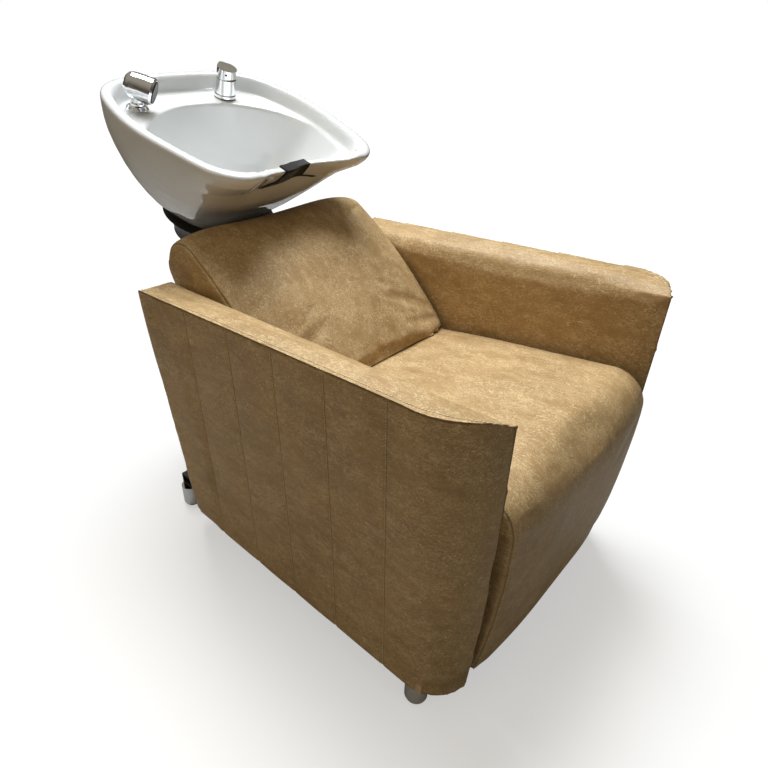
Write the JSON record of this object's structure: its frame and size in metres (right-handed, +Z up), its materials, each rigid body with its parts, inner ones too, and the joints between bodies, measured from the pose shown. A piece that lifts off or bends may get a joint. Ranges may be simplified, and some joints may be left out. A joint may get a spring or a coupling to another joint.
{
  "type": "salon backwash unit",
  "caption": "Salon backwash unit: tan faux-leather shampoo armchair with a tilting white ceramic basin behind it, chrome mixer tap and hand spray.",
  "frame": {"origin": "On the floor under the middle of the unit's bounding box.", "axes": "+Z up, +Y from the seat's front towards the basin at the rear, +X to the sitter's left as the sitter faces -Y."},
  "size_m": [0.6634, 1.0988, 0.9308],
  "materials": {
    "tan_leather": "distressed tan-brown faux leather, slight sheen, pale fibre-like scuffs",
    "white_ceramic": "glossy white glaze",
    "chrome": "polished chrome plate",
    "black_rubber": "smooth black rubber",
    "black_plastic": "satin black moulding",
    "black_steel": "black powder coat",
    "plywood": "raw birch plywood",
    "steel": "plain zinc-plated steel",
    "brass": "machined brass"
  },
  "bodies": {
    "chair": {"base_frame": "black_steel", "tail_legs": "black_steel", "foot_glides": "black_rubber", "left_front_foot": "chrome", "right_front_foot": "chrome", "left_rear_foot": "chrome", "right_rear_foot": "chrome", "left_arm_core": "plywood", "right_arm_core": "plywood", "left_arm_pad": "tan_leather", "right_arm_pad": "tan_leather", "seat_frame": "plywood", "seat_board": "plywood", "seat_cushion": "tan_leather", "back_posts": "plywood", "back_board": "plywood", "backrest_cushion": "tan_leather", "rear_panel": "tan_leather", "column": "black_steel", "column_plate": "black_steel", "plate_bolts": "steel", "column_cover": "black_plastic", "tilt_yoke": "black_steel", "tilt_pins": "steel", "friction_washers": "black_plastic"},
    "tilting_basin": {"basin": "white_ceramic", "neck_rest": "black_rubber", "bowl_cradle": "black_steel", "tilt_bracket": "black_steel", "waste_flange": "chrome", "waste_body": "black_plastic", "waste_seal": "black_rubber", "waste_nut": "black_plastic", "mixer_gasket": "black_rubber", "mixer_body": "chrome", "mixer_shank": "brass", "mixer_nut": "brass", "spray_flange": "chrome", "spray_sleeve": "brass", "spray_nut": "brass"},
    "mixer_turret": {"mixer_cartridge": "brass", "lever_pin": "steel"},
    "mixer_handle": {"mixer_lever": "chrome", "screw_plug": "black_plastic"},
    "hand_spray": {"spray_stem": "chrome", "spray_head": "chrome", "spray_face": "black_plastic"},
    "strainer": {"hair_strainer": "chrome"}
  },
  "joints": [
    {"name": "basin_tilt", "type": "hinge", "parent": "chair", "child": "tilting_basin", "pos_m": [0, 0.38917, 0.55], "axis": [-1, 0, 0], "range_deg": [-2.5, 12]},
    {"name": "mixer_turn", "type": "hinge", "parent": "tilting_basin", "child": "mixer_turret", "pos_m": [0.094, 0.46068, 0.891], "axis": [0, -0.2924, 0.9563], "range_deg": [-50, 50]},
    {"name": "lever_lift", "type": "hinge", "parent": "mixer_turret", "child": "mixer_handle", "pos_m": [0.094, 0.44636, 0.90021], "axis": [1, 0, 0], "range_deg": [0, 15]},
    {"name": "spray_lift", "type": "slide", "parent": "tilting_basin", "child": "hand_spray", "axis": [0, -0.2924, 0.9563], "range_m": [0, 0.12]},
    {"name": "strainer_lift", "type": "slide", "parent": "tilting_basin", "child": "strainer", "axis": [0, -0.2924, 0.9563], "range_m": [0, 0.04]}
  ]
}
